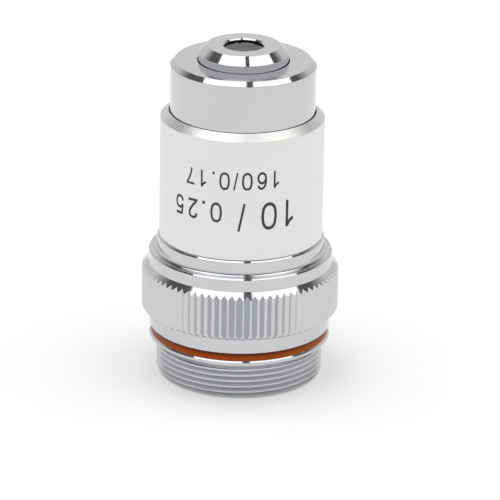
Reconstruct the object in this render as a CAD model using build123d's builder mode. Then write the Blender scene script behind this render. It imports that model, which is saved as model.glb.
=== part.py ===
from build123d import *
import os
from math import sqrt

# Microscope objective, a 10x achromat with two cemented doublets.
# The origin is the centre of the mounting shoulder, the face that a nosepiece clamps on.
# Z runs along the optical axis, from the mounting thread up to the front lens. Millimetres.
# Diameters follow from the thread and the nose, through the walls, steps and clearances of
# the pieces that sit in and on each other.

# Mounting thread, the society thread of 20.32 mm by 36 to the inch, at its crests
thread_d = 20.25
thread_length = 4.8
thread_chamfer = 0.5
relief_width = 0.9
relief_depth = 0.55
seat_margin = 0.1
seat_undercut = 0.1

# Inside of the body: rear counterbore, locking ledge and spigot for the sleeve
rear_wall = 1.375
rear_bore_depth = 10.3
rear_bore_chamfer = 0.3
ledge_thickness = 2.5
spigot_length = 4.6
spigot_chamfer = 0.25

# Lens tube, which the two cells and their spacer are stacked in
stem_step = 0.75
stem_wall = 1.55
stem_end_play = 0.2
stem_tail = 0.4
stem_chamfer = 0.3
tube_wall = 0.8
tube_flange_height = 1.75
tube_chamfer = 0.2

# Front cap
cap_wall = 0.84
cap_gap = 0.11
cap_rise = 6.25
cap_plate = 1.3
cap_chamfer = 0.55
cap_foot_gap = 0.5
cap_foot_chamfer = 0.2

# Engraved outer sleeve
sleeve_wall = 1.02
sleeve_length = 15.8
sleeve_chamfer_height = 0.8
sleeve_top_land = 0.04
sleeve_foot_chamfer = 0.1

# Neck and flange, which the sleeve stands on
neck_step = 0.23
neck_height = 1.85
neck_fillet = 0.45
neck_bevel = 0.2
flange_step = 1.03
flange_height = 1.6
flange_chamfer = 0.2

# Knurled grip ring with straight V grooves
knurl_rise = 0.82
knurl_height = 6.1
knurl_teeth = 80
knurl_depth = 0.4
knurl_foot_chamfer = 0.4
knurl_cut_margin = 0.05

# Shoulder band with the groove for the colour code
band_inset = 0.95
band_height = 3.5
lip_height = 0.3
lip_chamfer = 0.2
groove_width = 1.05
groove_depth = 0.35
enamel_dip = 0.08
enamel_joint = 0.01

# Front cell, whose nose comes through the cap
nose_d = 10.88
nose_rise = 1.9
nose_chamfer = 1.0
nose_gap = 0.13
nose_wall = 1.84
front_lip = 0.83
front_hole_chamfer = 0.2
front_lens_recess = 0.35
cell_flange_thickness = 1.3
cell_pilot_length = 2.7
cell_chamfer = 0.3

# Rear cell and the spacer between the cells
rear_cell_wall = 1.46
rear_cell_lip = 0.5
rear_cell_lip_height = 0.8
cell_tail = 0.65
spacer_wall = 0.85

# Front doublet, with its flat flint towards the specimen
front_curve = 7.6
front_flint_thickness = 1.0
front_crown_edge = 0.89

# Rear doublet, a fixed way behind the front one
lens_face_spacing = 16.75
rear_curve = 13.9
rear_flint_thickness = 1.2
rear_crown_edge = 0.98

# Retaining rings, locking ring, stop and shim
ring_step = 0.4
ring_height = 0.9
front_ring_lip = 0.6
rear_ring_lip = 0.7
ring_slot_width = 0.8
ring_slot_depth = 0.4
lock_ring_width = 0.95
lock_ring_height = 2.5
lock_slot_width = 1.2
lock_slot_depth = 1.0
stop_thickness = 0.3
stop_lip = 1.45
shim_thickness = 0.1

# Clearances
screw_fit = 0.05
slide_fit = 0.04
lens_fit = 0.03
cement_joint = 0.02
ring_seat_gap = 0.01


def sag(curve, r):
    """Depth of a spherical face of radius curve at distance r from the axis."""
    return curve - sqrt(curve**2 - r**2)


def dome(curve, vertex, r, side):
    """Half of a lens face, from its vertex on the axis out to r. side 1 falls towards the edge."""
    middle = (r / 2, vertex - side * sag(curve, r / 2))
    edge = (r, vertex - side * sag(curve, r))
    return ThreePointArc((0, vertex), middle, edge)


def corner(profile, r, z):
    """The corner of a turned profile that lies at radius r and height z."""
    return profile.vertices().sort_by_distance((r, z))[0]


def slotted_ring(foot, height, outer_r, inner_r, slot_width, slot_depth):
    """A screwed ring with two spanner slots across its rear face."""
    with BuildPart() as ring:
        with BuildSketch(Plane.XY.offset(foot)):
            Circle(outer_r)
            Circle(inner_r, mode=Mode.SUBTRACT)
        extrude(amount=height)
        with BuildSketch(Plane.XY.offset(foot)):
            Rectangle(2 * outer_r, slot_width)
        extrude(amount=slot_depth, mode=Mode.SUBTRACT)
    return ring.part


# Radii, from the thread inwards to the stem and then outwards again to the sleeve and the grip
thread_r = thread_d / 2
relief_r = thread_r - relief_depth
seat_r = thread_r + seat_margin
rear_bore_r = relief_r - rear_wall
lock_ring_r = rear_bore_r - screw_fit
ledge_bore_r = lock_ring_r - lock_ring_width
stem_end_r = ledge_bore_r - screw_fit
stem_bore_r = stem_end_r - stem_wall
tube_r = stem_end_r + stem_step
tube_bore_r = tube_r - tube_wall
stack_r = tube_bore_r - slide_fit
body_bore_r = tube_r + slide_fit
cap_bore_r = tube_r + screw_fit
cap_r = cap_bore_r + cap_wall
sleeve_bore_r = cap_r + cap_gap
spigot_r = sleeve_bore_r - screw_fit
sleeve_r = sleeve_bore_r + sleeve_wall
neck_r = sleeve_r + neck_step
flange_r = neck_r + flange_step
knurl_r = flange_r + knurl_rise
band_r = knurl_r - band_inset
groove_r = band_r - groove_depth

# Radii of the two cells, their lenses and rings
nose_r = nose_d / 2
front_ring_r = nose_r - nose_wall
front_lens_r = front_ring_r - ring_step
front_hole_r = front_lens_r - front_lip
front_ring_bore_r = front_lens_r - front_ring_lip
rear_ring_r = stack_r - rear_cell_wall
rear_lens_r = rear_ring_r - ring_step
rear_opening_r = rear_lens_r - rear_cell_lip
rear_ring_bore_r = rear_lens_r - rear_ring_lip

# Heights along the axis, from the shoulder upwards
thread_end = -thread_length
lock_face = thread_end + rear_bore_depth
ledge_top = lock_face + ledge_thickness
groove_foot = lip_height + lip_chamfer
groove_top = groove_foot + groove_width
knurl_foot = band_height
flange_foot = knurl_foot + knurl_height
neck_foot = flange_foot + flange_height
neck_top = neck_foot + neck_height
spigot_top = neck_top + spigot_length
tube_seat = spigot_top + shim_thickness
tube_flange_top = tube_seat + tube_flange_height
sleeve_top = neck_top + sleeve_length
cap_foot = tube_flange_top + cap_foot_gap
cap_top = sleeve_top + cap_rise
cell_flange_top = cap_top - cap_plate
tube_top = cell_flange_top - cell_flange_thickness
cell_foot = tube_top - cell_pilot_length
tip = cap_top + nose_rise

# Heights of the front doublet and its ring, from the tip inwards
front_face = tip - front_lens_recess
front_cement = front_face - front_flint_thickness
front_crown_top = front_cement - cement_joint
front_crown_foot = front_crown_top - front_crown_edge - 2 * sag(front_curve, front_lens_r)
front_ring_top = front_crown_foot + sag(front_curve, front_ring_bore_r) - ring_seat_gap
front_ring_foot = front_ring_top - ring_height

# Heights of the rear doublet, its ring and the stop
rear_face = front_face - lens_face_spacing
rear_cement = rear_face - rear_flint_thickness
rear_crown_top = rear_cement - cement_joint
rear_crown_foot = rear_crown_top - rear_crown_edge - 2 * sag(rear_curve, rear_lens_r)
rear_ring_top = rear_crown_foot + sag(rear_curve, rear_ring_bore_r) - ring_seat_gap
rear_ring_foot = rear_ring_top - ring_height
rear_cell_top = rear_face + rear_cell_lip_height
rear_cell_foot = rear_ring_foot - cell_tail
stop_foot = rear_cell_foot - stop_thickness

os.makedirs("parts", exist_ok=True)

# Body: thread, shoulder, colour groove, knurled ring, flange, neck and spigot in one turned piece
with BuildPart() as mount_body:
    with BuildSketch(Plane.XZ) as turned:
        with BuildLine():
            Polyline(
                (rear_bore_r, thread_end),
                (thread_r, thread_end),
                (thread_r, -relief_width),
                (relief_r, -relief_width),
                (relief_r, seat_undercut),
                (seat_r, seat_undercut),
                (seat_r, 0),
                (band_r, 0),
                (band_r, lip_height),
                (band_r - lip_chamfer, groove_foot),
                (groove_r, groove_foot),
                (groove_r, groove_top),
                (band_r, groove_top),
                (band_r, knurl_foot),
                (knurl_r - knurl_foot_chamfer, knurl_foot),
                (knurl_r, knurl_foot + knurl_foot_chamfer),
                (knurl_r, flange_foot - knurl_rise),
                (flange_r, flange_foot),
                (flange_r, neck_foot),
                (neck_r, neck_foot),
                (neck_r, neck_top),
                (spigot_r, neck_top),
                (spigot_r, spigot_top),
                (body_bore_r, spigot_top),
                (body_bore_r, ledge_top),
                (ledge_bore_r, ledge_top),
                (ledge_bore_r, lock_face),
                (rear_bore_r, lock_face),
                close=True,
            )
        make_face()
        chamfer(corner(turned, thread_r, thread_end), length=thread_chamfer)
        chamfer(corner(turned, rear_bore_r, thread_end), length=rear_bore_chamfer)
        chamfer(corner(turned, flange_r, neck_foot), length=flange_chamfer)
        fillet(corner(turned, neck_r, neck_foot), radius=neck_fillet)
        chamfer(corner(turned, neck_r, neck_top), length=neck_bevel)
        chamfer(corner(turned, spigot_r, spigot_top), length=spigot_chamfer)
    revolve(axis=Axis.Z)
    # The V grooves have flanks at 45 degrees, so a groove is as wide to each side as it is deep
    with BuildSketch(Plane.XY.offset(knurl_foot)):
        with PolarLocations(knurl_r, knurl_teeth):
            Polygon(
                (-knurl_depth, 0),
                (knurl_cut_margin, -knurl_depth - knurl_cut_margin),
                (knurl_cut_margin, knurl_depth + knurl_cut_margin),
                align=None,
            )
    extrude(amount=knurl_height, mode=Mode.SUBTRACT)
mount_body.part.label = "mount_body"
export_step(mount_body.part, "parts/mount_body.step")

# Colour code: enamel with a hollow face, level with the lip's inner edge and short of the band
enamel_foot_r = band_r - lip_chamfer
enamel_top_r = band_r - enamel_dip
enamel_middle_r = (enamel_foot_r + enamel_top_r) / 2 - enamel_dip
with BuildPart() as colour_band:
    with BuildSketch(Plane.XZ):
        with BuildLine():
            face_line = ThreePointArc(
                (enamel_foot_r, groove_foot + enamel_joint),
                (enamel_middle_r, (groove_foot + groove_top) / 2),
                (enamel_top_r, groove_top - enamel_joint),
            )
            Polyline(
                face_line @ 1,
                (groove_r + enamel_joint, groove_top - enamel_joint),
                (groove_r + enamel_joint, groove_foot + enamel_joint),
                face_line @ 0,
            )
        make_face()
    revolve(axis=Axis.Z)
colour_band.part.label = "colour_band"
export_step(colour_band.part, "parts/colour_band.step")

# Outer sleeve: a tube screwed on the spigot, with a wide bevel round its mouth
with BuildPart() as outer_sleeve:
    with BuildSketch(Plane.XZ):
        with BuildLine():
            Polyline(
                (sleeve_bore_r, neck_top),
                (sleeve_r - sleeve_foot_chamfer, neck_top),
                (sleeve_r, neck_top + sleeve_foot_chamfer),
                (sleeve_r, sleeve_top - sleeve_chamfer_height),
                (sleeve_bore_r + sleeve_top_land, sleeve_top),
                (sleeve_bore_r, sleeve_top),
                close=True,
            )
        make_face()
    revolve(axis=Axis.Z)
outer_sleeve.part.label = "outer_sleeve"
export_step(outer_sleeve.part, "parts/outer_sleeve.step")

# Front cap: a thimble screwed on the lens tube, which clamps the front cell by its flange
with BuildPart() as front_cap:
    with BuildSketch(Plane.XZ) as turned:
        with BuildLine():
            Polyline(
                (cap_bore_r, cap_foot),
                (cap_r, cap_foot),
                (cap_r, cap_top),
                (nose_r + nose_gap, cap_top),
                (nose_r + nose_gap, cell_flange_top),
                (cap_bore_r, cell_flange_top),
                close=True,
            )
        make_face()
        chamfer(corner(turned, cap_r, cap_top), length=cap_chamfer)
        chamfer(corner(turned, cap_bore_r, cap_foot), length=cap_foot_chamfer)
    revolve(axis=Axis.Z)
front_cap.part.label = "front_cap"
export_step(front_cap.part, "parts/front_cap.step")

# Lens tube: threaded stem, flange that sits on the shim, and the long barrel for the lens stack
stem_foot = lock_face - lock_ring_height - stem_tail
with BuildPart() as lens_tube:
    with BuildSketch(Plane.XZ) as turned:
        with BuildLine():
            Polyline(
                (stem_bore_r, stem_foot),
                (stem_end_r, stem_foot),
                (stem_end_r, ledge_top + stem_end_play),
                (tube_r, ledge_top + stem_end_play),
                (tube_r, tube_seat),
                (spigot_r, tube_seat),
                (spigot_r, tube_flange_top),
                (tube_r, tube_flange_top),
                (tube_r, tube_top),
                (tube_bore_r, tube_top),
                (tube_bore_r, stop_foot),
                (stem_bore_r, stop_foot),
                close=True,
            )
        make_face()
        chamfer(corner(turned, stem_end_r, stem_foot), length=stem_chamfer)
        chamfer(corner(turned, tube_r, tube_top), length=tube_chamfer)
    revolve(axis=Axis.Z)
lens_tube.part.label = "lens_tube"
export_step(lens_tube.part, "parts/lens_tube.step")

# Front cell: nose with the front opening, clamping flange and pilot
front_seat_r = front_lens_r + lens_fit
front_thread_r = front_ring_r + lens_fit
with BuildPart() as front_cell:
    with BuildSketch(Plane.XZ) as turned:
        with BuildLine():
            Polyline(
                (front_hole_r, tip),
                (nose_r, tip),
                (nose_r, cell_flange_top),
                (tube_r, cell_flange_top),
                (tube_r, tube_top),
                (stack_r, tube_top),
                (stack_r, cell_foot),
                (front_thread_r, cell_foot),
                (front_thread_r, front_ring_top + ring_seat_gap),
                (front_seat_r, front_ring_top + ring_seat_gap),
                (front_seat_r, front_face),
                (front_hole_r, front_face),
                close=True,
            )
        make_face()
        chamfer(corner(turned, nose_r, tip), length=nose_chamfer)
        chamfer(corner(turned, front_hole_r, tip), length=front_hole_chamfer)
        chamfer(corner(turned, stack_r, cell_foot), length=cell_chamfer)
    revolve(axis=Axis.Z)
front_cell.part.label = "front_cell"
export_step(front_cell.part, "parts/front_cell.step")

# Front doublet: flat and hollow flint, cemented to a crown that bulges on both sides
with BuildPart() as front_flint_lens:
    with BuildSketch(Plane.XZ):
        with BuildLine():
            hollow = dome(front_curve, front_cement, front_lens_r, 1)
            Polyline(hollow @ 1, (front_lens_r, front_face), (0, front_face), hollow @ 0)
        make_face()
    revolve(axis=Axis.Z)
front_flint_lens.part.label = "front_flint_lens"
export_step(front_flint_lens.part, "parts/front_flint_lens.step")

with BuildPart() as front_crown_lens:
    with BuildSketch(Plane.XZ):
        with BuildLine():
            upper = dome(front_curve, front_crown_top, front_lens_r, 1)
            lower = dome(front_curve, front_crown_foot, front_lens_r, -1)
            Line(upper @ 1, lower @ 1)
            Line(upper @ 0, lower @ 0)
        make_face()
    revolve(axis=Axis.Z)
front_crown_lens.part.label = "front_crown_lens"
export_step(front_crown_lens.part, "parts/front_crown_lens.step")

# Rear cell: carries the rear doublet against a lip at its front end
rear_seat_r = rear_lens_r + lens_fit
rear_thread_r = rear_ring_r + lens_fit
with BuildPart() as rear_cell:
    with BuildSketch(Plane.XZ) as turned:
        with BuildLine():
            Polyline(
                (rear_opening_r, rear_cell_top),
                (stack_r, rear_cell_top),
                (stack_r, rear_cell_foot),
                (rear_thread_r, rear_cell_foot),
                (rear_thread_r, rear_ring_top + ring_seat_gap),
                (rear_seat_r, rear_ring_top + ring_seat_gap),
                (rear_seat_r, rear_face),
                (rear_opening_r, rear_face),
                close=True,
            )
        make_face()
        chamfer(corner(turned, stack_r, rear_cell_top), length=cell_chamfer)
    revolve(axis=Axis.Z)
rear_cell.part.label = "rear_cell"
export_step(rear_cell.part, "parts/rear_cell.step")

# Rear doublet
with BuildPart() as rear_flint_lens:
    with BuildSketch(Plane.XZ):
        with BuildLine():
            hollow = dome(rear_curve, rear_cement, rear_lens_r, 1)
            Polyline(hollow @ 1, (rear_lens_r, rear_face), (0, rear_face), hollow @ 0)
        make_face()
    revolve(axis=Axis.Z)
rear_flint_lens.part.label = "rear_flint_lens"
export_step(rear_flint_lens.part, "parts/rear_flint_lens.step")

with BuildPart() as rear_crown_lens:
    with BuildSketch(Plane.XZ):
        with BuildLine():
            upper = dome(rear_curve, rear_crown_top, rear_lens_r, 1)
            lower = dome(rear_curve, rear_crown_foot, rear_lens_r, -1)
            Line(upper @ 1, lower @ 1)
            Line(upper @ 0, lower @ 0)
        make_face()
    revolve(axis=Axis.Z)
rear_crown_lens.part.label = "rear_crown_lens"
export_step(rear_crown_lens.part, "parts/rear_crown_lens.step")

# Spacer tube: holds the two cells at their distance
with BuildPart() as spacer_tube:
    with BuildSketch(Plane.XY.offset(rear_cell_top)):
        Circle(stack_r)
        Circle(stack_r - spacer_wall, mode=Mode.SUBTRACT)
    extrude(amount=cell_foot - rear_cell_top)
spacer_tube.part.label = "spacer_tube"
export_step(spacer_tube.part, "parts/spacer_tube.step")

# Aperture stop: a thin disc between the tube's ledge and the rear cell
with BuildPart() as aperture_stop:
    with BuildSketch(Plane.XY.offset(stop_foot)):
        Circle(stack_r)
        Circle(stem_bore_r - stop_lip, mode=Mode.SUBTRACT)
    extrude(amount=stop_thickness)
aperture_stop.part.label = "aperture_stop"
export_step(aperture_stop.part, "parts/aperture_stop.step")

# Parfocal shim: a thin washer between the body's spigot and the tube's flange
with BuildPart() as parfocal_shim:
    with BuildSketch(Plane.XY.offset(spigot_top)):
        Circle(spigot_r)
        Circle(body_bore_r, mode=Mode.SUBTRACT)
    extrude(amount=shim_thickness)
parfocal_shim.part.label = "parfocal_shim"
export_step(parfocal_shim.part, "parts/parfocal_shim.step")

# Rings that hold the doublets and lock the lens tube in the body
front_lens_ring = slotted_ring(
    front_ring_foot, ring_height, front_ring_r, front_ring_bore_r, ring_slot_width, ring_slot_depth
)
front_lens_ring.label = "front_lens_ring"
export_step(front_lens_ring, "parts/front_lens_ring.step")

rear_lens_ring = slotted_ring(
    rear_ring_foot, ring_height, rear_ring_r, rear_ring_bore_r, ring_slot_width, ring_slot_depth
)
rear_lens_ring.label = "rear_lens_ring"
export_step(rear_lens_ring, "parts/rear_lens_ring.step")

lock_ring = slotted_ring(
    lock_face - lock_ring_height, lock_ring_height, lock_ring_r, ledge_bore_r, lock_slot_width, lock_slot_depth
)
lock_ring.label = "lock_ring"
export_step(lock_ring, "parts/lock_ring.step")
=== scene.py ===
import math

import bpy
from bpy.props import FloatProperty, FloatVectorProperty, IntProperty, PointerProperty
from bpy.types import Operator, Panel, PropertyGroup
from mathutils import Matrix, Quaternion, Vector


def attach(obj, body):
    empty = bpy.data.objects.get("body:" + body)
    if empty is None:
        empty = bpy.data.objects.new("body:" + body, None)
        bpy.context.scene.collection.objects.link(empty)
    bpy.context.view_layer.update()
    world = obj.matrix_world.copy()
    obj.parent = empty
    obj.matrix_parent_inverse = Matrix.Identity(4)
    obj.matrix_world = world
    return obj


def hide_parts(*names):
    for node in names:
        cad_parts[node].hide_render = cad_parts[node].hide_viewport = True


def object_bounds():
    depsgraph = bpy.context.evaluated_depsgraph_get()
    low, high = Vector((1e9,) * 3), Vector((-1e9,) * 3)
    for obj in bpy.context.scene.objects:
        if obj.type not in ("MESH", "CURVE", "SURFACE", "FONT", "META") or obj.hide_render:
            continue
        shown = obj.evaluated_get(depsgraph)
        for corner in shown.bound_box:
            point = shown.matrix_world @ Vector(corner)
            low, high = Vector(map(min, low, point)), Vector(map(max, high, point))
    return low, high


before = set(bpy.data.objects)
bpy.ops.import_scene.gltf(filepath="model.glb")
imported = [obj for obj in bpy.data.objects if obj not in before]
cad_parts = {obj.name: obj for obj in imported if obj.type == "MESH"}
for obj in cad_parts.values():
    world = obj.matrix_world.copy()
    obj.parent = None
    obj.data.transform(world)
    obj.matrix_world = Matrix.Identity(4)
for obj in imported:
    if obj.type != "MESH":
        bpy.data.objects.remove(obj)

bl_info = {
    "name": "Microscope objective",
    "version": (1, 0, 0),
    "blender": (4, 5, 0),
    "location": "3D View > Sidebar > Objective",
    "description": "Builds a ten times microscope objective with its knurled grip and mounting thread",
    "category": "Object",
}

MM = 0.001
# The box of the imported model, before any piece is added
CAD_LOW, CAD_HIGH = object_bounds()
# Corners closer together than this are welded
WELD = 0.001 * MM
# How far a cutting tool reaches past the surface it cuts
CUT_MARGIN = 0.05 * MM
# Faces that meet at more than this, in degrees, keep a sharp corner in the shading. It is less than the step
# from a flat face to the first strip of a broken edge.
SMOOTH_ANGLE = 5
# Faces whose upward part is more than this are faced ends. They get a hazier finish, and their colour is made lighter
# than the chrome as painted light
FACED_PAINTED_LIGHT = 0.97
FILLET_STEPS = 20
ENAMEL_STEPS = 12
# The cutter of the mounting thread: its turns, steps in a turn, and height at which it ends
THREAD_TURNS = 6
THREAD_STEPS = 160
THREAD_RUN_OUT = -0.5 * MM
# An equilateral wedge of radius one: its depth, and half its angle in degrees
WEDGE_DEPTH = 1.5
WEDGE_HALF_ANGLE = 30
# Half the angles of the thread and of the knurl's grooves, in degrees
THREAD_HALF_ANGLE = 27.5
KNURL_HALF_ANGLE = 45
# Greatest width of the upright strips that a figure is divided into before it is wrapped
STRIP_WIDTH = 0.15 * MM
STROKE_STEPS = 8
# Glow of the floor, and the levels of the background and of the ceiling above it, with the heights of the
# line of sight at which one passes into the other
FLOOR_GLOW = 0.25
BACKGROUND_LEVEL, CEILING_LEVEL = 1.0, 0.16
CEILING_START, CEILING_END = 0.40, 0.62
# Two soft boxes side by side overhead, with a narrow gap between them: name, middle from left to right, width,
# power and colour. They hang at one height and have one depth. Lengths are in metres.
SOFT_BOXES = (
    ("left_box", -0.2575, 0.605, 2.6, (1.0, 1.0, 1.0)),
    ("right_box", 0.4175, 0.565, 2.2, (1.0, 0.985, 0.97)),
)
BOX_HEIGHT = 0.75
BOX_DEPTH = 0.8


def length(name, description, value):
    """A size in metres, given in millimetres."""
    return FloatProperty(name=name, description=description, default=value * MM, unit="LENGTH", precision=5)


def tint(name, description, value):
    """A colour, given as linear red, green and blue."""
    return FloatVectorProperty(
        name=name, description=description, default=value, subtype="COLOR", min=0.0, max=1.0, size=3
    )


def share(name, description, value):
    """A part between nothing and all."""
    return FloatProperty(name=name, description=description, default=value, min=0.0, max=1.0, subtype="FACTOR")


# Sizes of the metal pieces


class TurningSettings(PropertyGroup):
    sides: IntProperty(name="Sides", description="Flat facets round each turned piece", default=320, min=64)
    edge_round: length("Edge round", "Width of the broken edge left by polishing", 0.03)


class BodySizes(PropertyGroup):
    thread_radius: length("Thread radius", "Crest radius of the mounting thread", 10.125)
    thread_end: length("Thread end", "Height of the rear end below the shoulder", -4.8)
    thread_chamfer: length("Thread chamfer", "Chamfer at the start of the thread", 0.5)
    thread_pitch: length("Thread pitch", "Rise of the thread in one turn, 36 turns to the inch", 0.7056)
    thread_depth: length("Thread depth", "Depth of the thread groove", 0.452)
    relief_radius: length("Relief radius", "Radius of the run-out groove below the shoulder", 9.575)
    relief_height: length("Relief height", "Height at which the run-out groove starts", -0.9)
    undercut: length("Undercut", "Height of the undercut in the shoulder", 0.1)
    seat_radius: length("Seat radius", "Inner radius of the shoulder face", 10.225)
    band_radius: length("Band radius", "Radius of the plain band under the grip", 11.05)
    lip_height: length("Lip height", "Height of the lip under the colour groove", 0.3)
    lip_chamfer: length("Lip chamfer", "Chamfer on the lip", 0.2)
    groove_radius: length("Groove radius", "Radius of the floor of the colour groove", 10.7)
    groove_top: length("Groove top", "Height of the top of the colour groove", 1.55)
    grip_foot: length("Grip foot", "Height of the foot of the knurled grip", 3.5)
    grip_radius: length("Grip radius", "Radius over the crests of the knurl", 12.0)
    grip_chamfer: length("Grip chamfer", "Chamfer at the foot of the grip", 0.4)
    flange_radius: length("Flange radius", "Radius of the flange over the grip", 11.18)
    flange_foot: length("Flange foot", "Height of the foot of the flange", 9.6)
    flange_chamfer: length("Flange chamfer", "Chamfer on the flange", 0.2)
    neck_foot: length("Neck foot", "Height of the flange's top face", 11.2)
    neck_radius: length("Neck radius", "Radius of the neck", 10.15)
    neck_fillet: length("Neck fillet", "Radius of the fillet at the foot of the neck", 0.45)
    neck_top: length("Neck top", "Height of the top of the neck", 13.05)
    neck_bevel: length("Neck bevel", "Bevel round the top of the neck", 0.2)
    spigot_radius: length("Spigot radius", "Radius of the spigot inside the sleeve", 8.85)
    spigot_top: length("Spigot top", "Height of the top of the spigot", 17.65)
    spigot_chamfer: length("Spigot chamfer", "Chamfer on the spigot", 0.25)
    barrel_bore: length("Barrel bore", "Radius of the bore for the lens tube", 7.94)
    ledge_top: length("Ledge top", "Height of the ledge in the bore", 8.0)
    ledge_bore: length("Ledge bore", "Radius of the ledge's bore", 7.2)
    lock_face: length("Lock face", "Height of the face under the ledge", 5.5)
    rear_bore: length("Rear bore", "Radius of the rear bore", 8.2)
    rear_bore_chamfer: length("Rear bore chamfer", "Chamfer of the rear bore", 0.3)


class KnurlSizes(PropertyGroup):
    teeth: IntProperty(name="Teeth", description="Grooves round the grip", default=80, min=8)
    depth: length("Groove depth", "Depth of the grooves, whose flanks stand at 45 degrees", 0.4)


class SleeveSizes(PropertyGroup):
    foot: length("Sleeve foot", "Height of the sleeve's foot", 13.05)
    radius: length("Sleeve radius", "Outer radius of the sleeve", 9.92)
    bore: length("Sleeve bore", "Inner radius of the sleeve", 8.9)
    foot_chamfer: length("Foot chamfer", "Chamfer at the sleeve's foot", 0.1)
    top: length("Sleeve top", "Height of the sleeve's top", 28.85)
    bevel_height: length("Bevel height", "Height of the bevel round the mouth", 0.8)
    top_land: length("Top land", "Width of the flat rim at the mouth", 0.04)


class CapSizes(PropertyGroup):
    foot: length("Cap foot", "Height of the cap's foot", 20.0)
    radius: length("Cap radius", "Outer radius of the cap", 8.79)
    bore: length("Cap bore", "Inner radius of the cap", 7.95)
    foot_chamfer: length("Foot chamfer", "Chamfer inside the cap's foot", 0.2)
    top: length("Cap top", "Height of the cap's top face", 35.1)
    chamfer: length("Cap chamfer", "Chamfer round the cap's top", 0.55)
    opening: length("Cap opening", "Radius of the opening for the nose", 5.57)
    plate_foot: length("Plate underside", "Height of the underside of the top plate", 33.8)


class NoseSizes(PropertyGroup):
    tip: length("Tip", "Height of the front face", 37.0)
    radius: length("Nose radius", "Outer radius of the nose", 5.44)
    chamfer: length("Nose chamfer", "Chamfer round the front face", 1.0)
    flange_top: length("Flange top", "Height of the clamping flange", 33.8)
    flange_radius: length("Flange radius", "Radius of the clamping flange", 7.9)
    flange_foot: length("Flange foot", "Height of the flange's underside", 32.5)
    pilot_radius: length("Pilot radius", "Radius of the part inside the lens tube", 7.06)
    pilot_foot: length("Pilot foot", "Height of the cell's rear end", 29.8)
    pilot_chamfer: length("Pilot chamfer", "Chamfer at the rear end", 0.3)
    ring_bore: length("Ring bore", "Radius of the bore for the retaining ring", 3.63)
    ring_seat: length("Ring seat", "Height of the face above the retaining ring", 32.52)
    lens_bore: length("Lens bore", "Radius of the bore for the lens", 3.23)
    lens_face: length("Lens face", "Height of the face the lens rests against", 36.65)
    opening: length("Front opening", "Radius of the front opening", 2.37)
    opening_chamfer: length("Opening chamfer", "Chamfer of the front opening", 0.2)


class EnamelSizes(PropertyGroup):
    foot: length("Enamel foot", "Height of the foot of the colour ring", 0.51)
    top: length("Enamel top", "Height of the top of the colour ring", 1.54)
    foot_radius: length("Foot radius", "Outer radius at the foot", 10.85)
    top_radius: length("Top radius", "Outer radius at the top", 10.97)
    hollow_radius: length("Hollow radius", "Outer radius halfway up, where the paint has sunk", 10.83)
    floor_radius: length("Floor radius", "Inner radius, on the floor of the groove", 10.71)


class FigureSizes(PropertyGroup):
    proud: length("Stand", "How far the middle of the filling stands out of the sleeve", -0.012)
    thickness: length("Thickness", "Thickness of the filling", 0.04)


class FinishColours(PropertyGroup):
    chrome: tint("Chrome", "Colour of the bright plating", (0.58, 0.59, 0.605))
    satin: tint("Satin", "Colour of the blasted sleeve", (0.77, 0.77, 0.76))
    # The enamel's second colour is painted shade as well as thicker enamel: it is laid towards the top of the ring,
    # under the groove's upper edge
    enamel_thin_and_unshaded: tint("Enamel light", "Enamel where it is thin", (0.48, 0.085, 0.002))
    enamel_thick_and_painted_shade: tint("Enamel deep", "Enamel where it is thick", (0.10, 0.010, 0.001))
    figures: tint("Figure fill", "Colour of the filled figures", (0.035, 0.037, 0.042))
    blackened: tint("Blackened brass", "Colour of the blackened inner pieces", (0.02, 0.02, 0.021))
    spacer: tint("Spacer", "Colour of the black anodised spacer", (0.015, 0.015, 0.017))
    shim: tint("Shim", "Colour of the brass shim", (0.68, 0.48, 0.2))
    coating: tint("Lens coating", "Tint of the coated glass", (0.48, 0.39, 0.34))
    coating_gleam: tint("Coating gleam", "Tint of what the coated glass reflects", (0.6, 0.46, 0.43))
    crown_glass: tint("Crown glass", "Tint of the plain glass", (0.96, 0.98, 0.97))


class StageSettings(PropertyGroup):
    floor_colour: tint("Floor", "Colour of the pale floor", (0.86, 0.86, 0.86))
    floor_size: FloatProperty(name="Floor size", description="Side of the floor", default=8.0, unit="LENGTH")
    sky_level: share("Sky level", "Level of the even light from all round", 0.5)
    camera_distance: length("Camera distance", "From the lens to the point it circles", 475.15)
    camera_height: length("Aim height", "Height of that point on the axis", 19.3)
    camera_elevation: FloatProperty(
        name="Elevation", description="Camera angle above the horizon", default=math.radians(20.11), unit="ROTATION"
    )
    camera_drop: FloatProperty(
        name="Drop",
        description="How far below that point the camera aims",
        default=math.radians(0.969),
        unit="ROTATION",
    )
    camera_pan: FloatProperty(
        name="Pan",
        description="How far to the right of it the camera aims",
        default=math.radians(0.150),
        unit="ROTATION",
    )
    camera_roll: FloatProperty(
        name="Roll", description="Turn of the camera about its own axis", default=math.radians(0.985), unit="ROTATION"
    )
    focal_length: FloatProperty(name="Focal length", description="In millimetres, on a 36 mm frame", default=282.2)


# Shop work shared by the pieces


def clear_selection():
    if bpy.context.object and bpy.context.object.mode != "OBJECT":
        bpy.ops.object.mode_set(mode="OBJECT")
    bpy.ops.object.select_all(action="DESELECT")


def settle(piece):
    """Moves the piece's place into its mesh."""
    clear_selection()
    piece.select_set(True)
    bpy.context.view_layer.objects.active = piece
    bpy.ops.object.transform_apply(location=True, rotation=True, scale=True)


def edit(piece, kind="EDGE"):
    """Opens the piece in edit mode with everything selected."""
    bpy.context.view_layer.objects.active = piece
    piece.select_set(True)
    bpy.ops.object.mode_set(mode="EDIT")
    bpy.ops.mesh.select_mode(type=kind)
    bpy.ops.mesh.select_all(action="SELECT")


def close_edit():
    bpy.ops.object.mode_set(mode="OBJECT")


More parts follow.
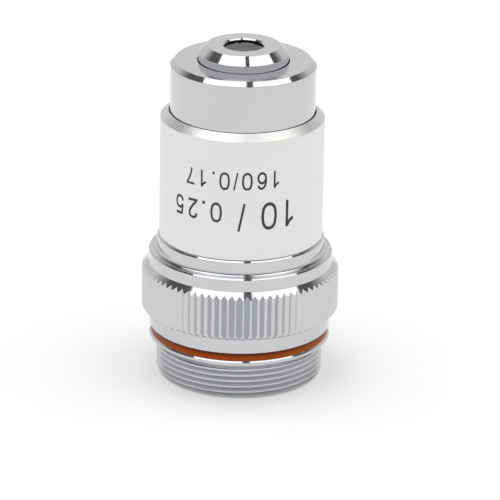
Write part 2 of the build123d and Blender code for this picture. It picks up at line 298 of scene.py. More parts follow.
def turn(name, outline):
    """Turns a closed outline of (radius, height) corners about the axis, ring by ring."""
    sides = bpy.context.scene.turning.sides
    radius, height = outline[0]
    clear_selection()
    bpy.ops.mesh.primitive_circle_add(vertices=sides, radius=radius, location=(0, 0, height))
    piece = bpy.context.object
    piece.name = name
    settle(piece)
    edit(piece)
    for next_radius, next_height in outline[1:] + outline[:1]:
        bpy.ops.mesh.extrude_edges_move(TRANSFORM_OT_translate={"value": (0, 0, next_height - height)})
        ratio = next_radius / radius
        bpy.ops.transform.resize(value=(ratio, ratio, 1), center_override=(0, 0, 0))
        radius, height = next_radius, next_height
    bpy.ops.mesh.select_all(action="SELECT")
    bpy.ops.mesh.remove_doubles(threshold=WELD)
    bpy.ops.mesh.normals_make_consistent(inside=False)
    close_edit()
    return piece


def apply_modifier(piece, name):
    bpy.context.view_layer.objects.active = piece
    bpy.ops.object.modifier_apply(modifier=name)


def cut(piece, tool):
    """Cuts the tool out of the piece and removes the tool."""
    clear_selection()
    piece.select_set(True)
    cutting = piece.modifiers.new("Cut", "BOOLEAN")
    cutting.operation = "DIFFERENCE"
    cutting.solver = "EXACT"
    cutting.object = tool
    apply_modifier(piece, "Cut")
    bpy.data.objects.remove(tool)


def break_edges(piece, width):
    """Breaks the sharp edges a little, as polishing does."""
    clear_selection()
    piece.select_set(True)
    breaking = piece.modifiers.new("Break", "BEVEL")
    breaking.width = width
    breaking.segments = 3
    breaking.limit_method = "ANGLE"
    breaking.angle_limit = math.radians(25)
    apply_modifier(piece, "Break")


def shade_faces(piece):
    """Shades the piece smooth, apart from the corners of its outline."""
    clear_selection()
    piece.select_set(True)
    bpy.context.view_layer.objects.active = piece
    bpy.ops.object.shade_smooth_by_angle(angle=math.radians(SMOOTH_ANGLE))


def arc(centre_radius, centre_height, size, start, end, steps):
    """Points of a fillet, with angles in degrees from the outward direction."""
    points = []
    for step in range(steps + 1):
        angle = math.radians(start + (end - start) * step / steps)
        points.append((centre_radius + size * math.cos(angle), centre_height + size * math.sin(angle)))
    return points


def finish(name):
    """The finish of that name, kept apart from the plain CAD material that may be called the same."""
    return bpy.data.materials[name + "_finish"]


def finish_piece(piece, material, slot, *nodes):
    """Gives the piece its finish, hangs it under the root and hides the CAD nodes that it stands for."""
    piece.data.materials.clear()
    piece.data.materials.append(finish(material))
    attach(piece, "root")
    if nodes:
        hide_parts(*nodes)


def brighten_faced_ends(piece):
    """Gives the faces that look straight up the hazier finish of a faced end, painted lighter than the chrome as a
    painted highlight.
    """
    piece.data.materials.append(finish("faced_chrome_painted_light"))
    for face in piece.data.polygons:
        if face.normal.z > FACED_PAINTED_LIGHT:
            face.material_index = 1


# Finishes


class NodeDesk:
    """A short hand for laying out the nodes of one material."""

    def __init__(self, name):
        self.material = bpy.data.materials.new(name + "_finish")
        self.material.use_nodes = True
        self.tree = self.material.node_tree
        self.tree.nodes.clear()
        self.output = self.add("ShaderNodeOutputMaterial")
        self.shader = self.add("ShaderNodeBsdfPrincipled")
        self.link(self.shader.outputs["BSDF"], self.output.inputs["Surface"])
        self.place = self.add("ShaderNodeTexCoord").outputs["Object"]

    def add(self, kind, **settings):
        node = self.tree.nodes.new(kind)
        for key, value in settings.items():
            setattr(node, key, value)
        return node

    def link(self, source, target):
        self.tree.links.new(source, target)

    def stretched(self, scale):
        mapping = self.add("ShaderNodeMapping")
        mapping.inputs["Scale"].default_value = scale
        self.link(self.place, mapping.inputs["Vector"])
        return mapping.outputs["Vector"]

    def noise(self, scale, detail=4.0, roughness=0.5, vector=None):
        node = self.add("ShaderNodeTexNoise")
        node.inputs["Scale"].default_value = scale
        node.inputs["Detail"].default_value = detail
        node.inputs["Roughness"].default_value = roughness
        self.link(vector or self.place, node.inputs["Vector"])
        return node.outputs["Fac"]

    def spread(self, value, low, high, low_in=0.3, high_in=0.7):
        node = self.add("ShaderNodeMapRange")
        node.inputs["From Min"].default_value = low_in
        node.inputs["From Max"].default_value = high_in
        node.inputs["To Min"].default_value = low
        node.inputs["To Max"].default_value = high
        self.link(value, node.inputs["Value"])
        return node.outputs["Result"]

    def blend_colours(self, factor, first, second):
        ramp = self.add("ShaderNodeValToRGB")
        ramp.color_ramp.elements[0].color = (*first, 1)
        ramp.color_ramp.elements[1].color = (*second, 1)
        self.link(factor, ramp.inputs["Fac"])
        return ramp

    def bump(self, height, strength, distance):
        node = self.add("ShaderNodeBump")
        node.inputs["Strength"].default_value = strength
        node.inputs["Distance"].default_value = distance
        self.link(height, node.inputs["Height"])
        return node.outputs["Normal"]

    def set(self, **values):
        for key, value in values.items():
            self.shader.inputs[key.replace("_", " ")].default_value = value


def shade(colour, factor):
    """The colour made lighter or darker by a factor."""
    return tuple(min(1.0, c * factor) for c in colour)


def chrome_finish(name, colour, haze_low, haze_high):
    """Bright chrome plating."""
    desk = NodeDesk(name)
    desk.set(Metallic=1.0)
    patches = desk.noise(220.0, 5.0)
    tone = desk.blend_colours(patches, shade(colour, 0.98), shade(colour, 1.02))
    desk.link(tone.outputs["Color"], desk.shader.inputs["Base Color"])
    desk.link(desk.spread(desk.noise(700.0, 6.0, 0.6), haze_low, haze_high), desk.shader.inputs["Roughness"])
    marks = desk.noise(60.0, 3.0, 0.5, desk.stretched((1.0, 1.0, 60.0)))
    desk.link(desk.bump(marks, 0.012, 0.00001), desk.shader.inputs["Normal"])


def satin_finish(colour):
    """Fine blasted metal, which scatters the light evenly."""
    desk = NodeDesk("satin_blasted")
    desk.set(Metallic=1.0)
    cloud = desk.noise(260.0, 4.0)
    tone = desk.blend_colours(cloud, shade(colour, 0.97), shade(colour, 1.03))
    desk.link(tone.outputs["Color"], desk.shader.inputs["Base Color"])
    grain = desk.noise(14000.0, 3.0, 0.6)
    desk.link(desk.spread(grain, 0.34, 0.44), desk.shader.inputs["Roughness"])
    desk.link(desk.bump(grain, 0.12, 0.00001), desk.shader.inputs["Normal"])


def enamel_finish(light, thick_and_shaded, low, high):
    """Glossy enamel, darker towards the top of the ring, where it lies thicker and where shade under the upper edge
    of the groove is painted in.
    """
    desk = NodeDesk("orange_enamel")
    desk.set(Metallic=0.0, Roughness=0.4, Specular_IOR_Level=0.2, IOR=1.4)
    # Painted shade: by height, the colour goes from the first tint at the foot of the ring to the dark tint at its
    # top
    parts = desk.add("ShaderNodeSeparateXYZ")
    desk.link(desk.place, parts.inputs["Vector"])
    height = desk.spread(parts.outputs["Z"], 0.0, 1.0, low, high)
    ripple = desk.noise(900.0, 3.0)
    wander = desk.add("ShaderNodeMath", operation="MULTIPLY_ADD")
    desk.link(ripple, wander.inputs[0])
    wander.inputs[1].default_value = 0.12
    desk.link(height, wander.inputs[2])
    ramp = desk.blend_colours(wander.outputs["Value"], light, thick_and_shaded)
    ramp.color_ramp.elements[0].position = 0.35
    ramp.color_ramp.elements[1].position = 0.95
    desk.link(ramp.outputs["Color"], desk.shader.inputs["Base Color"])
    desk.link(desk.bump(ripple, 0.1, 0.00002), desk.shader.inputs["Normal"])


def fill_finish(colour):
    """Matt paint rubbed into the engraved strokes."""
    desk = NodeDesk("figure_fill")
    desk.set(Metallic=0.0, IOR=1.5)
    cloud = desk.noise(2500.0, 4.0)
    tone = desk.blend_colours(cloud, shade(colour, 0.8), shade(colour, 1.3))
    desk.link(tone.outputs["Color"], desk.shader.inputs["Base Color"])
    desk.link(desk.spread(cloud, 0.5, 0.65), desk.shader.inputs["Roughness"])
    desk.link(desk.bump(cloud, 0.15, 0.00001), desk.shader.inputs["Normal"])


def dark_metal_finish(name, colour, sheen_low, sheen_high):
    """Blackened or anodised metal with faint turning marks."""
    desk = NodeDesk(name)
    desk.set(Metallic=0.6, IOR=1.5)
    cloud = desk.noise(450.0, 5.0)
    tone = desk.blend_colours(cloud, shade(colour, 0.75), shade(colour, 1.5))
    desk.link(tone.outputs["Color"], desk.shader.inputs["Base Color"])
    desk.link(desk.spread(cloud, sheen_low, sheen_high), desk.shader.inputs["Roughness"])
    marks = desk.noise(90.0, 4.0, 0.6, desk.stretched((1.0, 1.0, 70.0)))
    desk.link(desk.bump(marks, 0.15, 0.00002), desk.shader.inputs["Normal"])


def shim_finish(colour):
    """Rolled brass foil."""
    desk = NodeDesk("rolled_brass")
    desk.set(Metallic=1.0)
    cloud = desk.noise(400.0, 5.0)
    tone = desk.blend_colours(cloud, shade(colour, 0.8), shade(colour, 1.1))
    desk.link(tone.outputs["Color"], desk.shader.inputs["Base Color"])
    desk.link(desk.spread(cloud, 0.2, 0.4), desk.shader.inputs["Roughness"])


def glass_finish(name, colour, index, reflected=(1.0, 1.0, 1.0)):
    """Polished optical glass, very slightly uneven in tint and polish."""
    desk = NodeDesk(name)
    desk.set(Metallic=0.0, Transmission_Weight=1.0, IOR=index, Specular_Tint=(*reflected, 1))
    cloud = desk.noise(500.0, 4.0)
    tone = desk.blend_colours(cloud, shade(colour, 0.985), colour)
    desk.link(tone.outputs["Color"], desk.shader.inputs["Base Color"])
    desk.link(desk.spread(cloud, 0.0, 0.02), desk.shader.inputs["Roughness"])


class OBJECTIVE_OT_finishes(Operator):
    """Makes the finishes and gives the inner CAD pieces theirs"""

    bl_idname = "objective.finishes"
    bl_label = "Finishes"

    def execute(self, context):
        colours = context.scene.finish_colours
        enamel = context.scene.enamel_sizes
        chrome_finish("bright_chrome", colours.chrome[:], 0.045, 0.08)
        # Faced ends are hazier, and their colour is the chrome made lighter: painted light on the faces that look up
        # at the lamps
        chrome_finish("faced_chrome_painted_light", shade(colours.chrome[:], 1.15), 0.16, 0.21)
        satin_finish(colours.satin[:])
        enamel_finish(colours.enamel_thin_and_unshaded[:], colours.enamel_thick_and_painted_shade[:], enamel.foot, enamel.top)
        fill_finish(colours.figures[:])
        dark_metal_finish("blackened_brass", colours.blackened[:], 0.35, 0.5)
        dark_metal_finish("black_spacer", colours.spacer[:], 0.5, 0.7)
        shim_finish(colours.shim[:])
        glass_finish("coated_glass", colours.coating[:], 1.62, colours.coating_gleam[:])
        glass_finish("crown_glass", colours.crown_glass[:], 1.52)
        finish_of_node = {
            "mount_body": "bright_chrome",
            "colour_band": "orange_enamel",
            "outer_sleeve": "satin_blasted",
            "front_cap": "bright_chrome",
            "front_cell": "bright_chrome",
            "lens_tube": "blackened_brass",
            "front_flint_lens": "coated_glass",
            "front_crown_lens": "crown_glass",
            "front_lens_ring": "blackened_brass",
            "spacer_tube": "black_spacer",
            "rear_cell": "blackened_brass",
            "rear_flint_lens": "crown_glass",
            "rear_crown_lens": "coated_glass",
            "rear_lens_ring": "blackened_brass",
            "aperture_stop": "blackened_brass",
            "parfocal_shim": "rolled_brass",
            "lock_ring": "blackened_brass",
        }
        for node, name in finish_of_node.items():
            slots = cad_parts[node].material_slots
            for slot in slots:
                slot.material = finish(name)
            if not slots:
                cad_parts[node].data.materials.append(finish(name))
        return {"FINISHED"}


# Pieces


def widening(half_angle):
    """The factor across that gives an equilateral wedge another half angle, in degrees."""
    return math.tan(math.radians(half_angle)) / math.tan(math.radians(WEDGE_HALF_ANGLE))


def thread_tool(sizes):
    """A helical V of 55 degrees for cutting the mounting thread."""
    reach = (sizes.thread_depth + CUT_MARGIN) / WEDGE_DEPTH
    root = sizes.thread_radius - sizes.thread_depth
    start = THREAD_RUN_OUT - THREAD_TURNS * sizes.thread_pitch
    clear_selection()
    bpy.ops.mesh.primitive_circle_add(
        vertices=3, radius=reach, location=(root + reach, 0, start), rotation=(math.pi / 2, -math.pi / 2, 0)
    )
    tool = bpy.context.object
    settle(tool)
    edit(tool)
    bpy.ops.transform.resize(value=(1, 1, widening(THREAD_HALF_ANGLE)), center_override=(0, 0, start))
    close_edit()
    winding = tool.modifiers.new("Wind", "SCREW")
    winding.axis = "Z"
    winding.angle = 2 * math.pi
    winding.screw_offset = sizes.thread_pitch
    winding.iterations = THREAD_TURNS
    winding.steps = THREAD_STEPS
    winding.render_steps = THREAD_STEPS
    apply_modifier(tool, "Wind")
    edit(tool)
    bpy.ops.mesh.select_all(action="DESELECT")
    bpy.ops.mesh.select_non_manifold()
    bpy.ops.mesh.fill()
    bpy.ops.mesh.select_all(action="SELECT")
    bpy.ops.mesh.normals_make_consistent(inside=False)
    close_edit()
    return tool


def knurl_tool(sizes, knurl):
    """Wedges for cutting the straight grooves of the grip."""
    reach = (knurl.depth + CUT_MARGIN) / WEDGE_DEPTH
    low, high = sizes.grip_foot - CUT_MARGIN, sizes.flange_foot + CUT_MARGIN
    root = sizes.grip_radius - knurl.depth
    clear_selection()
    bpy.ops.mesh.primitive_cylinder_add(
        vertices=3, radius=reach, depth=high - low, location=(0, -root - reach, (low + high) / 2)
    )
    tool = bpy.context.object
    settle(tool)
    edit(tool)
    bpy.ops.transform.resize(value=(widening(KNURL_HALF_ANGLE), 1, 1), center_override=(0, 0, 0))
    copies = knurl.teeth - 1
    bpy.ops.mesh.spin(
        steps=copies, dupli=True, angle=2 * math.pi * copies / knurl.teeth, center=(0, 0, 0), axis=(0, 0, 1)
    )
    close_edit()
    return tool


class OBJECTIVE_OT_body(Operator):
    """Turns the body, cuts its thread and knurls its grip"""

    bl_idname = "objective.body"
    bl_label = "Body"

    def execute(self, context):
        s = context.scene.body_sizes
        knurl = context.scene.knurl_sizes
        lip_radius = s.band_radius - s.lip_chamfer
        groove_foot = s.lip_height + s.lip_chamfer
        rise = s.grip_radius - s.flange_radius
        outline = [
            (s.rear_bore + s.rear_bore_chamfer, s.thread_end),
            (s.thread_radius - s.thread_chamfer, s.thread_end),
            (s.thread_radius, s.thread_end + s.thread_chamfer),
            (s.thread_radius, s.relief_height),
            (s.relief_radius, s.relief_height),
            (s.relief_radius, s.undercut),
            (s.seat_radius, s.undercut),
            (s.seat_radius, 0),
            (s.band_radius, 0),
            (s.band_radius, s.lip_height),
            (lip_radius, groove_foot),
            (s.groove_radius, groove_foot),
            (s.groove_radius, s.groove_top),
            (s.band_radius, s.groove_top),
            (s.band_radius, s.grip_foot),
            (s.grip_radius - s.grip_chamfer, s.grip_foot),
            (s.grip_radius, s.grip_foot + s.grip_chamfer),
            (s.grip_radius, s.flange_foot - rise),
            (s.flange_radius, s.flange_foot),
            (s.flange_radius, s.neck_foot - s.flange_chamfer),
            (s.flange_radius - s.flange_chamfer, s.neck_foot),
            *arc(s.neck_radius + s.neck_fillet, s.neck_foot + s.neck_fillet, s.neck_fillet, 270, 180, FILLET_STEPS),
            (s.neck_radius, s.neck_top - s.neck_bevel),
            (s.neck_radius - s.neck_bevel, s.neck_top),
            (s.spigot_radius, s.neck_top),
            (s.spigot_radius, s.spigot_top - s.spigot_chamfer),
            (s.spigot_radius - s.spigot_chamfer, s.spigot_top),
            (s.barrel_bore, s.spigot_top),
            (s.barrel_bore, s.ledge_top),
            (s.ledge_bore, s.ledge_top),
            (s.ledge_bore, s.lock_face),
            (s.rear_bore, s.lock_face),
            (s.rear_bore, s.thread_end + s.rear_bore_chamfer),
        ]
        body = turn("chromed_body", outline)
        break_edges(body, context.scene.turning.edge_round)
        cut(body, thread_tool(s))
        cut(body, knurl_tool(s, knurl))
        shade_faces(body)
        finish_piece(body, "bright_chrome", "chrome_plate", "mount_body")
        brighten_faced_ends(body)
        return {"FINISHED"}


class OBJECTIVE_OT_colour_ring(Operator):
    """Lays the enamel into the colour groove"""

    bl_idname = "objective.colour_ring"
    bl_label = "Colour ring"

    def execute(self, context):
        s = context.scene.enamel_sizes
        face = []
        sunk = (s.foot_radius + s.top_radius) / 2 - s.hollow_radius
        for step in range(ENAMEL_STEPS + 1):
            part = step / ENAMEL_STEPS
            straight = s.foot_radius + (s.top_radius - s.foot_radius) * part
            face.append((straight - sunk * 4 * part * (1 - part), s.foot + (s.top - s.foot) * part))
        ring = turn("enamel_ring", [(s.floor_radius, s.foot), *face, (s.floor_radius, s.top)])
        break_edges(ring, 0.01 * MM)
        shade_faces(ring)
        finish_piece(ring, "orange_enamel", "orange_enamel", "colour_band")
        return {"FINISHED"}


class OBJECTIVE_OT_sleeve(Operator):
    """Turns the satin sleeve with the bevel round its mouth"""

    bl_idname = "objective.sleeve"
    bl_label = "Sleeve"

    def execute(self, context):
        s = context.scene.sleeve_sizes
        outline = [
            (s.bore, s.foot),
            (s.radius - s.foot_chamfer, s.foot),
            (s.radius, s.foot + s.foot_chamfer),
            (s.radius, s.top - s.bevel_height),
            (s.bore + s.top_land, s.top),
            (s.bore, s.top),
        ]
        sleeve = turn("satin_sleeve", outline)
        break_edges(sleeve, 0.02 * MM)
        shade_faces(sleeve)
        finish_piece(sleeve, "satin_blasted", "satin_sleeve", "outer_sleeve")
        return {"FINISHED"}


class OBJECTIVE_OT_cap(Operator):
    """Turns the chromed cap that clamps the front cell"""

    bl_idname = "objective.cap"
    bl_label = "Cap"

    def execute(self, context):
        s = context.scene.cap_sizes
        outline = [
            (s.bore + s.foot_chamfer, s.foot),
            (s.radius, s.foot),
            (s.radius, s.top - s.chamfer),
            (s.radius - s.chamfer, s.top),
            (s.opening, s.top),
            (s.opening, s.plate_foot),
            (s.bore, s.plate_foot),
            (s.bore, s.foot + s.foot_chamfer),
        ]
        cap = turn("chromed_cap", outline)
        break_edges(cap, context.scene.turning.edge_round)
        shade_faces(cap)
        finish_piece(cap, "bright_chrome", "chrome_plate", "front_cap")
        brighten_faced_ends(cap)
        return {"FINISHED"}


class OBJECTIVE_OT_nose(Operator):
    """Turns the nose, which is also the cell of the front lenses"""

    bl_idname = "objective.nose"
    bl_label = "Nose"

    def execute(self, context):
        s = context.scene.nose_sizes
        outline = [
            (s.opening + s.opening_chamfer, s.tip),
            (s.radius - s.chamfer, s.tip),
            (s.radius, s.tip - s.chamfer),
            (s.radius, s.flange_top),
            (s.flange_radius, s.flange_top),
            (s.flange_radius, s.flange_foot),
            (s.pilot_radius, s.flange_foot),
            (s.pilot_radius, s.pilot_foot + s.pilot_chamfer),
            (s.pilot_radius - s.pilot_chamfer, s.pilot_foot),
            (s.ring_bore, s.pilot_foot),
            (s.ring_bore, s.ring_seat),
            (s.lens_bore, s.ring_seat),
            (s.lens_bore, s.lens_face),
            (s.opening, s.lens_face),
            (s.opening, s.tip - s.opening_chamfer),
        ]
        nose = turn("chromed_nose", outline)
        break_edges(nose, context.scene.turning.edge_round)
        shade_faces(nose)
        finish_piece(nose, "bright_chrome", "chrome_plate", "front_cell")
        brighten_faced_ends(nose)
        # The bore of the front opening and the cell behind the flange are blackened
        nose.data.materials.append(finish("blackened_brass"))
        for face in nose.data.polygons:
            if face.center.xy.length < s.opening + 0.02 * MM or face.center.z < s.flange_foot:
                face.material_index = 2
        return {"FINISHED"}


# Middle lines of the figures, as parts of their height from the middle of the foot. The first word says
# whether a line closes on itself and whether it is drawn as a curve.
LINES = {
    "0": [
        ("ring", [
            (-0.27, 0.36), (-0.27, 0.64), (-0.19, 0.86), (0.0, 0.942), (0.19, 0.86), (0.27, 0.64), (0.27, 0.36),
            (0.19, 0.14), (0.0, 0.058), (-0.19, 0.14),
        ]),
    ],
    "1": [("straight", [(0.0, 1.0), (0.0, 0.0)]), ("curve", [(0.0, 0.965), (-0.12, 0.81), (-0.315, 0.69)])],
    "2": [
        ("curve", [
            (-0.25, 0.72), (-0.19, 0.87), (0.0, 0.94), (0.2, 0.86), (0.235, 0.7), (0.13, 0.48), (-0.22, 0.12),
        ]),
        ("straight", [(-0.31, 0.065), (0.33, 0.065)]),
    ],
    "5": [
        ("straight", [(0.29, 0.935), (-0.17, 0.935)]),
        ("straight", [(-0.165, 0.99), (-0.255, 0.46)]),
        ("curve", [
            (-0.25, 0.5), (-0.13, 0.6), (0.03, 0.635), (0.2, 0.55), (0.262, 0.35), (0.2, 0.15), (0.01, 0.06),
            (-0.18, 0.12), (-0.268, 0.28),
        ]),
    ],
    "6": [
        ("ring", [
            (-0.255, 0.33), (-0.18, 0.54), (0.0, 0.63), (0.18, 0.54), (0.255, 0.345), (0.18, 0.14), (0.0, 0.06),
            (-0.18, 0.14),
        ]),
        ("curve", [(0.245, 0.76), (0.18, 0.89), (0.03, 0.94), (-0.16, 0.84), (-0.245, 0.62), (-0.255, 0.33)]),
    ],
    "7": [
        ("straight", [(-0.33, 0.935), (0.34, 0.935)]),
        ("curve", [(0.3, 0.91), (0.08, 0.56), (-0.03, 0.29), (-0.08, 0.0)]),
    ],
    ".": [("straight", [(0.0, 0.0), (0.0, 0.155)])],
    "/": [("straight", [(0.117, 1.0), (-0.117, 0.0)])],
}
# The figures with bearing in degrees, foot height, figure height and stroke width in millimetres
POWER_ROW = [
    ("1", 33.56, 20.36, 3.38, 0.43), ("0", 19.84, 20.40, 3.47, 0.40), ("/", 0.38, 20.36, 3.52, 0.32),
    ("0", -17.42, 20.30, 2.50, 0.32), (".", -26.8, 20.28, 2.50, 0.42), ("2", -35.4, 20.29, 2.50, 0.32),
    ("5", -47.6, 20.28, 2.44, 0.32),
]
TUBE_ROW = [
    ("1", 23.38, 24.28, 2.12, 0.28), ("6", 14.28, 24.28, 2.19, 0.29), ("0", 4.03, 24.26, 2.21, 0.29),
    ("/", -3.92, 24.24, 2.21, 0.22), ("0", -11.7, 24.22, 2.21, 0.29), (".", -19.66, 24.18, 2.20, 0.32),
    ("1", -28.5, 24.15, 2.12, 0.28), ("7", -37.6, 24.15, 2.10, 0.27),
]


def stroke(kind, points, height, width):
    """One flat stroke of the engraver's cutter along its middle line, as a mesh."""
    clear_selection()
    path = bpy.data.curves.new("stroke", "CURVE")
    path.dimensions = "2D"
    path.fill_mode = "NONE"
    path.resolution_u = STROKE_STEPS
    line = path.splines.new("BEZIER")
    line.bezier_points.add(len(points) - 1)
    line.use_cyclic_u = kind == "ring"
    for point, (across, up) in zip(line.bezier_points, points):
        point.co = (across * height, up * height, 0)
        point.handle_left_type = point.handle_right_type = "VECTOR" if kind == "straight" else "AUTO"
    blade = bpy.data.curves.new("blade", "CURVE")
    blade.dimensions = "2D"
    edge = blade.splines.new("POLY")
    edge.points.add(1)
    edge.points[0].co = (-width / 2, 0, 0, 1)
    edge.points[1].co = (width / 2, 0, 0, 1)
    cutter = bpy.data.objects.new("blade", blade)
    bpy.context.collection.objects.link(cutter)
    path.bevel_mode = "OBJECT"
    path.bevel_object = cutter
    mark = bpy.data.objects.new("stroke", path)
    bpy.context.collection.objects.link(mark)
    bpy.context.view_layer.objects.active = mark
    mark.select_set(True)
    bpy.ops.object.convert(target="MESH")
    bpy.data.objects.remove(cutter)
    return bpy.context.object


def figure(name, sign, bearing, foot, height, width, sizes, sleeve_radius):
    """One figure, head down, wrapped on the sleeve at its bearing from the front."""
    strokes = [stroke(kind, points, height, width) for kind, points in LINES[sign]]
    clear_selection()
    for part in strokes:
        part.select_set(True)
    bpy.context.view_layer.objects.active = strokes[0]
    if len(strokes) > 1:
        bpy.ops.object.join()
    mark = strokes[0]
    mark.name = name
    edit(mark, "VERT")
    bpy.ops.mesh.remove_doubles(threshold=WELD)
    reach = 0.5 * height
    strips = int(reach / STRIP_WIDTH)
    for step in range(1 - strips, strips):
        bpy.ops.mesh.select_all(action="SELECT")
        bpy.ops.mesh.bisect(plane_co=(reach * step / strips, 0, 0), plane_no=(1, 0, 0))
    close_edit()
    # Head down and upright, clear of the front of the sleeve, then round to its bearing and onto the sleeve
    mark.data.transform(
        Matrix.Rotation(math.radians(bearing), 4, "Z")
        @ Matrix.Translation((0, -1.2 * sleeve_radius, foot))
        @ Matrix.Rotation(math.radians(90), 4, "X")
        @ Matrix.Rotation(math.radians(180), 4, "Z")
    )
    for vertex in mark.data.vertices:
        flat = Vector((vertex.co.x, vertex.co.y, 0))
        flat.normalize()
        stand = flat * (sleeve_radius + sizes.proud)
        vertex.co.x, vertex.co.y = stand.x, stand.y
    filling = mark.modifiers.new("Filling", "SOLIDIFY")
    filling.thickness = sizes.thickness
    filling.offset = 0
    apply_modifier(mark, "Filling")
    edit(mark, "FACE")
    bpy.ops.mesh.normals_make_consistent(inside=False)
    close_edit()
    return mark


class OBJECTIVE_OT_figures(Operator):
    """Fills the figures for magnification, aperture, tube length and cover glass"""

    bl_idname = "objective.figures"
    bl_label = "Figures"

    def execute(self, context):
        sizes = context.scene.figure_sizes
        radius = context.scene.sleeve_sizes.radius
        for row, figures in (("power", POWER_ROW), ("tube", TUBE_ROW)):
            for index, (sign, bearing, foot, height, width) in enumerate(figures):
                mark = figure(
                    f"{row}_figure_{index + 1}", sign, bearing, foot * MM, height * MM, width * MM, sizes, radius
                )
                finish_piece(mark, "figure_fill", "satin_sleeve")
        return {"FINISHED"}


# Stage


def mix_shaders(tree, factor, first, second):
    node = tree.nodes.new("ShaderNodeMixShader")
    tree.links.new(factor, node.inputs[0])
    tree.links.new(first, node.inputs[1])
    tree.links.new(second, node.inputs[2])
    return node.outputs[0]


def clear_view(tree):
    """One for what the lens, metal or glass sees, nothing for light that only bounces about."""
    path = tree.nodes.new("ShaderNodeLightPath")
    found = path.outputs["Is Camera Ray"]
    for ray in ("Is Glossy Ray", "Is Transmission Ray"):
        larger = tree.nodes.new("ShaderNodeMath")
        larger.operation = "MAXIMUM"
        tree.links.new(found, larger.inputs[0])
        tree.links.new(path.outputs[ray], larger.inputs[1])
        found = larger.outputs[0]
    return found


def floor_material(colour):
    """Pale paper that keeps the object's shadow, a little brighter to the lens, metal and glass."""
    material = bpy.data.materials.new("pale_floor")
    material.use_nodes = True
    tree = material.node_tree
    tree.nodes.clear()
    output = tree.nodes.new("ShaderNodeOutputMaterial")
    paper = tree.nodes.new("ShaderNodeBsdfDiffuse")
    paper.inputs["Color"].default_value = (*colour, 1)
    glow = tree.nodes.new("ShaderNodeEmission")
    glow.inputs["Strength"].default_value = FLOOR_GLOW
    lit = tree.nodes.new("ShaderNodeAddShader")
    tree.links.new(paper.outputs[0], lit.inputs[0])
    tree.links.new(glow.outputs[0], lit.inputs[1])
    seen = mix_shaders(tree, clear_view(tree), paper.outputs[0], lit.outputs[0])
    # The back of the floor is open, so the thread end can be looked at from below
    geometry = tree.nodes.new("ShaderNodeNewGeometry")
    clear = tree.nodes.new("ShaderNodeBsdfTransparent")
    surface = mix_shaders(tree, geometry.outputs["Backfacing"], seen, clear.outputs[0])
    tree.links.new(surface, output.inputs["Surface"])
    return material


def soft_box(name, across, width, power, colour):
    """A large soft lamp overhead, facing straight down."""
    clear_selection()
    bpy.ops.object.light_add(type="AREA", location=(across, 0.0, BOX_HEIGHT))
    lamp = bpy.context.object
    lamp.name = name
    lamp.data.shape = "RECTANGLE"
    lamp.data.size = width
    lamp.data.size_y = BOX_DEPTH
    lamp.data.energy = power
    lamp.data.color = colour
    lamp.rotation_euler = Vector((0, 0, -1)).to_track_quat("-Z", "Y").to_euler()
    lamp.visible_camera = False


def lay_world(level):
    """Even light from all round. The lens, metal and glass see a white background under a dim ceiling."""
    world = bpy.data.worlds.new("studio")
    bpy.context.scene.world = world
    world.use_nodes = True
    tree = world.node_tree
    tree.nodes.clear()
    output = tree.nodes.new("ShaderNodeOutputWorld")
    parts = tree.nodes.new("ShaderNodeSeparateXYZ")
    tree.links.new(tree.nodes.new("ShaderNodeTexCoord").outputs["Generated"], parts.inputs[0])
    ceiling = tree.nodes.new("ShaderNodeMapRange")
    ceiling.inputs["From Min"].default_value = CEILING_START
    ceiling.inputs["From Max"].default_value = CEILING_END
    ceiling.inputs["To Min"].default_value = BACKGROUND_LEVEL
    ceiling.inputs["To Max"].default_value = CEILING_LEVEL
    tree.links.new(parts.outputs["Z"], ceiling.inputs["Value"])
    even = tree.nodes.new("ShaderNodeBackground")
    even.inputs["Strength"].default_value = level
    room = tree.nodes.new("ShaderNodeBackground")
    tree.links.new(ceiling.outputs["Result"], room.inputs["Strength"])
    tree.links.new(mix_shaders(tree, clear_view(tree), even.outputs[0], room.outputs[0]), output.inputs["Surface"])


def set_camera(s):
    bpy.ops.object.camera_add()
    camera = bpy.context.object
    camera.name = "studio_camera"
    camera.data.sensor_width = 36.0
    camera.data.lens = s.focal_length
    camera.data.clip_start = 0.05
    camera.data.clip_end = 20.0
    rise = s.camera_elevation
    camera.location = (
        0,
        -s.camera_distance * math.cos(rise),
        s.camera_height + s.camera_distance * math.sin(rise),
    )
    dip = rise + s.camera_drop
    ahead = Vector(
        (math.sin(s.camera_pan) * math.cos(dip), math.cos(s.camera_pan) * math.cos(dip), -math.sin(dip))
    )
    camera.rotation_mode = "QUATERNION"
    camera.rotation_quaternion = ahead.to_track_quat("-Z", "Y") @ Quaternion((0, 0, 1), s.camera_roll)
    bpy.context.scene.camera = camera


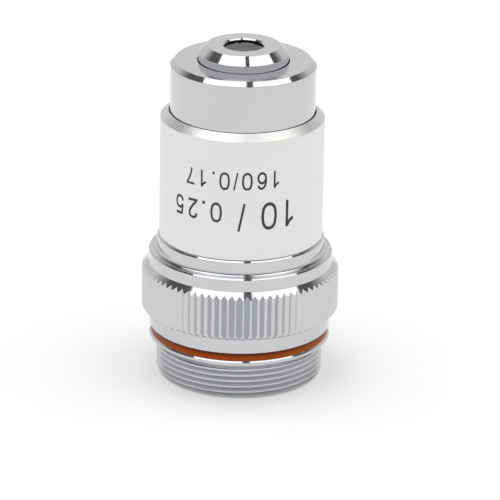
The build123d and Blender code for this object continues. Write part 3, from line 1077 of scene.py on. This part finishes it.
class OBJECTIVE_OT_stage(Operator):
    """Lays the floor, hangs the lamps and sets the camera"""

    bl_idname = "objective.stage"
    bl_label = "Stage"

    def execute(self, context):
        s = context.scene.stage_settings
        clear_selection()
        bpy.ops.mesh.primitive_plane_add(size=s.floor_size, location=(0, 0, CAD_LOW.z))
        floor = bpy.context.object
        floor.name = "studio_floor"
        floor.data.materials.append(floor_material(s.floor_colour[:]))
        settle(floor)
        lay_world(s.sky_level)
        for box in SOFT_BOXES:
            soft_box(*box)
        set_camera(s)
        context.scene.view_settings.view_transform = "Standard"
        return {"FINISHED"}


class OBJECTIVE_PT_pieces(Panel):
    """Lists the pieces of the objective in the sidebar"""

    bl_label = "Microscope objective"
    bl_idname = "OBJECTIVE_PT_pieces"
    bl_space_type = "VIEW_3D"
    bl_region_type = "UI"
    bl_category = "Objective"

    def draw(self, context):
        scene = context.scene
        for operator in OPERATORS:
            self.layout.operator(operator.bl_idname)
        for name in GROUPS:
            box = self.layout.box()
            group = getattr(scene, name)
            for prop in group.bl_rna.properties:
                if prop.identifier not in ("rna_type", "name"):
                    box.prop(group, prop.identifier)


OPERATORS = (
    OBJECTIVE_OT_finishes,
    OBJECTIVE_OT_body,
    OBJECTIVE_OT_colour_ring,
    OBJECTIVE_OT_sleeve,
    OBJECTIVE_OT_cap,
    OBJECTIVE_OT_nose,
    OBJECTIVE_OT_figures,
    OBJECTIVE_OT_stage,
)
GROUPS = {
    "turning": TurningSettings,
    "body_sizes": BodySizes,
    "knurl_sizes": KnurlSizes,
    "sleeve_sizes": SleeveSizes,
    "cap_sizes": CapSizes,
    "nose_sizes": NoseSizes,
    "enamel_sizes": EnamelSizes,
    "figure_sizes": FigureSizes,
    "finish_colours": FinishColours,
    "stage_settings": StageSettings,
}


def register():
    for name, group in GROUPS.items():
        bpy.utils.register_class(group)
        setattr(bpy.types.Scene, name, PointerProperty(type=group))
    for operator in OPERATORS:
        bpy.utils.register_class(operator)
    bpy.utils.register_class(OBJECTIVE_PT_pieces)


def unregister():
    bpy.utils.unregister_class(OBJECTIVE_PT_pieces)
    for operator in reversed(OPERATORS):
        bpy.utils.unregister_class(operator)
    for name, group in GROUPS.items():
        delattr(bpy.types.Scene, name)
        bpy.utils.unregister_class(group)


def main():
    register()
    bpy.ops.objective.finishes()
    bpy.ops.objective.body()
    bpy.ops.objective.colour_ring()
    bpy.ops.objective.sleeve()
    bpy.ops.objective.cap()
    bpy.ops.objective.nose()
    bpy.ops.objective.figures()
    bpy.ops.objective.stage()


if __name__ == "__main__":
    main()
